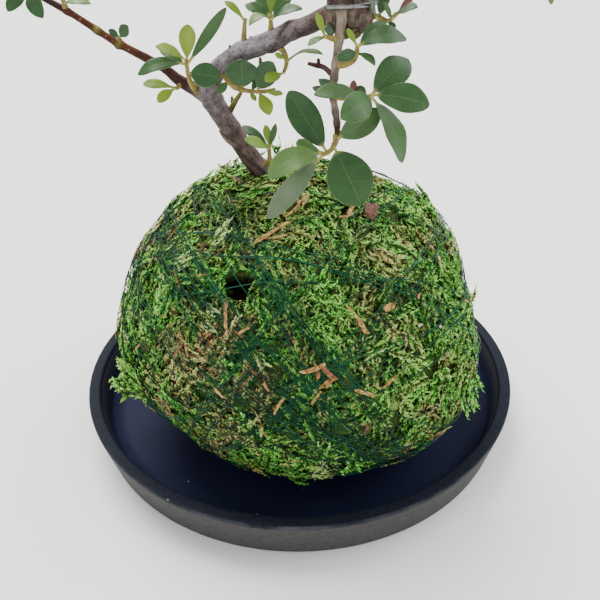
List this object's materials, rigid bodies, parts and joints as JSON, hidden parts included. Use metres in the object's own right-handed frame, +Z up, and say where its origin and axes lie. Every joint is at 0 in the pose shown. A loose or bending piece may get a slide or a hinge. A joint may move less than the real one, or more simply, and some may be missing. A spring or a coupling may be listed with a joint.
{
  "type": "kokedama moss ball plant",
  "caption": "Small shrub rooted in a round ball of soil wrapped in moss and bound with thread, standing in a shallow round saucer.",
  "frame": {"origin": "centre of the saucer's flat underside", "axes": "+Z up, -Y towards the usual view, +X to that view's right"},
  "size_m": [0.15, 0.15, 0.2043],
  "materials": {
    "saucer_plastic": "matte",
    "soil": "matte",
    "moss": "matte",
    "thread": "satin",
    "wood": "matte",
    "wire": "satin",
    "leaf": "satin"
  },
  "bodies": {
    "root": {"saucer": "saucer_plastic", "soil_core": "soil", "moss_layer": "moss", "binding_thread": "thread", "trunk": "wood", "training_wire": "wire", "spray_low_rosette": "leaf", "spray_front_cluster": "leaf", "spray_upper_twig": "leaf", "spray_bud_stub": "leaf", "spray_knob": "leaf", "spray_fork": "leaf", "spray_shoot_foot": "leaf", "spray_branch_bud": "leaf", "spray_branch_rosette": "leaf", "spray_underside": "leaf", "spray_branch_face": "leaf", "spray_trunk_foot": "leaf", "spray_shoot_middle": "leaf", "spray_shoot_upper": "leaf", "spray_shoot_left": "leaf", "crown_right_tip": "leaf", "crown_right": "leaf", "crown_left_tip": "leaf", "crown_left": "leaf", "crown_back_tip": "leaf", "crown_back": "leaf", "crown_front": "leaf", "crown_right_upper": "leaf", "crown_left_upper": "leaf", "crown_top": "leaf"}
  },
  "joints": []
}
